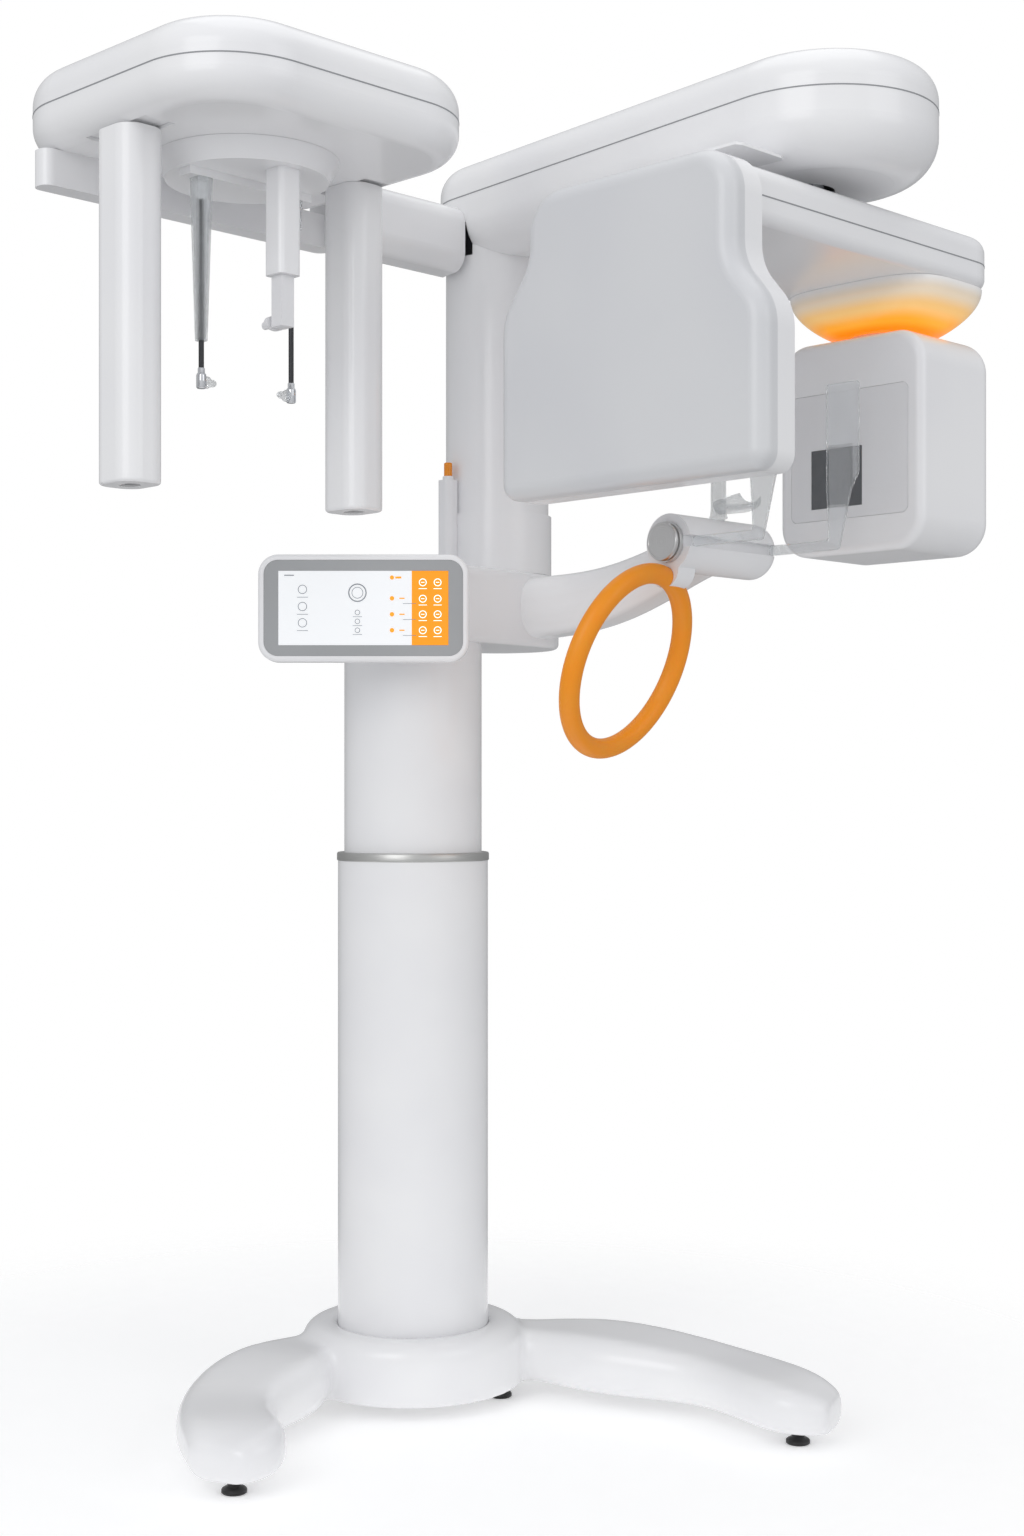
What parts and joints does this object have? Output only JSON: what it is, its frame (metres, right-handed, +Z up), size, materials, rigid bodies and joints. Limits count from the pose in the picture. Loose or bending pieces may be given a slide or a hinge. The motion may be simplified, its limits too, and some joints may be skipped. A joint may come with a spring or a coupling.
{
  "type": "panoramic xray machine",
  "caption": "Floor-standing dental X-ray machine: telescopic column, beam with rotating arm for panoramic scans, bite support, touch screen and a cephalometric head on a side arm.",
  "frame": {"origin": "on the floor under the axis of the lower column, at the middle levelling pad", "axes": "+Z up; the patient stands on the -Y side facing the column; the cephalometric arm runs to -X"},
  "size_m": [1.088, 0.904, 1.782],
  "materials": {
    "white_paint": "gloss",
    "white_cover": "gloss",
    "satin_grey": "satin",
    "bezel_grey": "satin",
    "panel_grey": "satin",
    "dark_window": "gloss",
    "display": "gloss",
    "orange": "gloss",
    "amber": "translucent, lit from inside",
    "clear": "clear",
    "ear_plastic": "gloss",
    "silver": "brushed",
    "steel": "machined",
    "rod_steel": "polished",
    "aluminium": "machined",
    "guide_plastic": "matte",
    "black_foot": "matte",
    "black_metal": "satin"
  },
  "bodies": {
    "base": {"base_casting": "white_paint", "levelling_feet": "black_foot", "foot_lock_nuts": "steel", "lower_column": "white_paint", "column_collar": "silver", "column_guides": "guide_plastic", "column_flange": "black_metal", "flange_bolts": "steel", "lift_actuator": "aluminium"},
    "lift": {"upper_column": "white_paint", "lift_rod": "rod_steel", "shoulder_casting": "white_paint", "tower_cover": "white_cover", "tower_mast": "aluminium", "tower_sleeve": "white_cover", "beam_lower_cover": "white_cover", "beam_upper_cover": "white_cover", "beam_frame": "aluminium", "orbit_rails": "steel", "support_arm": "white_cover", "support_bar": "white_cover", "ring_handle": "orange", "screen_bracket": "white_paint", "ceph_arm": "white_paint", "ceph_lower_cover": "white_cover", "ceph_upper_cover": "white_cover", "ceph_rails": "aluminium"},
    "screen": {"screen_housing": "white_cover", "screen_bezel": "bezel_grey", "display_panel": "display"},
    "hand_switch_body": {"hand_switch": "white_cover"},
    "exposure_button_body": {"exposure_button": "orange"},
    "orbit": {"orbit_carriage": "aluminium", "shaft_bearing": "steel"},
    "scanning_arm": {"rotor_shaft": "steel", "bridge_upper_cover": "white_cover", "bridge_lower_cover": "white_cover", "bridge_frame": "aluminium", "amber_bowl": "amber", "detector_front_cover": "white_cover", "detector_back_cover": "satin_grey", "sensor_window": "dark_window", "sensor_module": "aluminium"},
    "tube_head": {"tube_neck": "white_cover", "tube_head_front": "white_cover", "tube_head_rear": "white_cover", "collimator_panel": "panel_grey", "collimator_window": "dark_window", "tube_tank": "aluminium"},
    "knob": {"adjusting_knob": "silver"},
    "left_temple": {"temple_pad_left": "clear"},
    "right_temple": {"temple_pad_right": "clear"},
    "chin": {"chin_rest": "clear"},
    "ceph_collimator": {"collimator_pillar": "white_cover"},
    "ceph_detector": {"detector_pillar": "white_cover"},
    "ear_frame": {"ear_carrier": "white_cover", "nasion_post": "white_cover"},
    "left_ear": {"ear_rod_left": "ear_plastic"},
    "right_ear": {"ear_rod_right": "ear_plastic"},
    "nasion": {"nasion_slider": "bezel_grey"}
  },
  "joints": [
    {"name": "column_lift", "type": "slide", "parent": "base", "child": "lift", "axis": [0, 0, 1], "range_m": [-0.24, 0.23]},
    {"name": "screen_tilt", "type": "hinge", "parent": "lift", "child": "screen", "pos_m": [-0.12375, -0.08034, 1.109], "axis": [0.7071, -0.7071, 0], "range_deg": [-12, 12]},
    {"name": "hand_switch_lift_out", "type": "slide", "parent": "lift", "child": "hand_switch_body", "axis": [0, 0, 1], "range_m": [0, 0.09]},
    {"name": "exposure_press", "type": "slide", "parent": "hand_switch_body", "child": "exposure_button_body", "axis": [0, 0, 1], "range_m": [-0.004, 0], "stiffness_N_per_m": 500, "springref_m": 0.001},
    {"name": "orbit_shift", "type": "slide", "parent": "lift", "child": "orbit", "axis": [0, 1, 0], "range_m": [-0.025, 0.025]},
    {"name": "arm_rotation", "type": "hinge", "parent": "orbit", "child": "scanning_arm", "pos_m": [0.169, -0.54, 1.616], "axis": [0, 0, 1], "range_deg": [-180, 0]},
    {"name": "tube_swivel", "type": "hinge", "parent": "scanning_arm", "child": "tube_head", "pos_m": [0.388, -0.54, 1.5], "axis": [0, 0, 1], "range_deg": [0, 33]},
    {"name": "temple_knob_turn", "type": "hinge", "parent": "lift", "child": "knob", "pos_m": [0.0727, -0.418, 1.19], "axis": [1, 0, 0], "range_deg": [-180, 30]},
    {"name": "left_temple_slide", "type": "slide", "parent": "lift", "child": "left_temple", "axis": [1, 0, 0], "range_m": [-0.003, 0.018]},
    {"name": "right_temple_slide", "type": "slide", "parent": "lift", "child": "right_temple", "axis": [-1, 0, 0], "range_m": [-0.003, 0.018]},
    {"name": "chin_height", "type": "slide", "parent": "lift", "child": "chin", "axis": [0, 0, 1], "range_m": [0, 0.02]},
    {"name": "ceph_collimator_scan", "type": "slide", "parent": "lift", "child": "ceph_collimator", "axis": [0, 1, 0], "range_m": [-0.022, 0.022]},
    {"name": "ceph_detector_scan", "type": "slide", "parent": "lift", "child": "ceph_detector", "axis": [0, 1, 0], "range_m": [-0.036, 0.036]},
    {"name": "ear_frame_turn", "type": "hinge", "parent": "lift", "child": "ear_frame", "pos_m": [-0.377, -0.1, 1.664], "axis": [0, 0, 1], "range_deg": [0, 90]},
    {"name": "left_ear_slide", "type": "slide", "parent": "ear_frame", "child": "left_ear", "axis": [1, 0, 0], "range_m": [-0.02, 0.02]},
    {"name": "right_ear_slide", "type": "slide", "parent": "ear_frame", "child": "right_ear", "axis": [-1, 0, 0], "range_m": [-0.02, 0.02]},
    {"name": "nasion_height", "type": "slide", "parent": "ear_frame", "child": "nasion", "axis": [0, 0, 1], "range_m": [-0.05, 0.035]}
  ],
  "couplings": [
    {"joint": "left_temple_slide", "follows": "temple_knob_turn", "m_per_rad": -0.0057},
    {"joint": "right_temple_slide", "follows": "temple_knob_turn", "m_per_rad": -0.0057},
    {"joint": "ceph_detector_scan", "follows": "ceph_collimator_scan", "ratio": 1.6},
    {"joint": "right_ear_slide", "follows": "left_ear_slide", "ratio": 1}
  ]
}
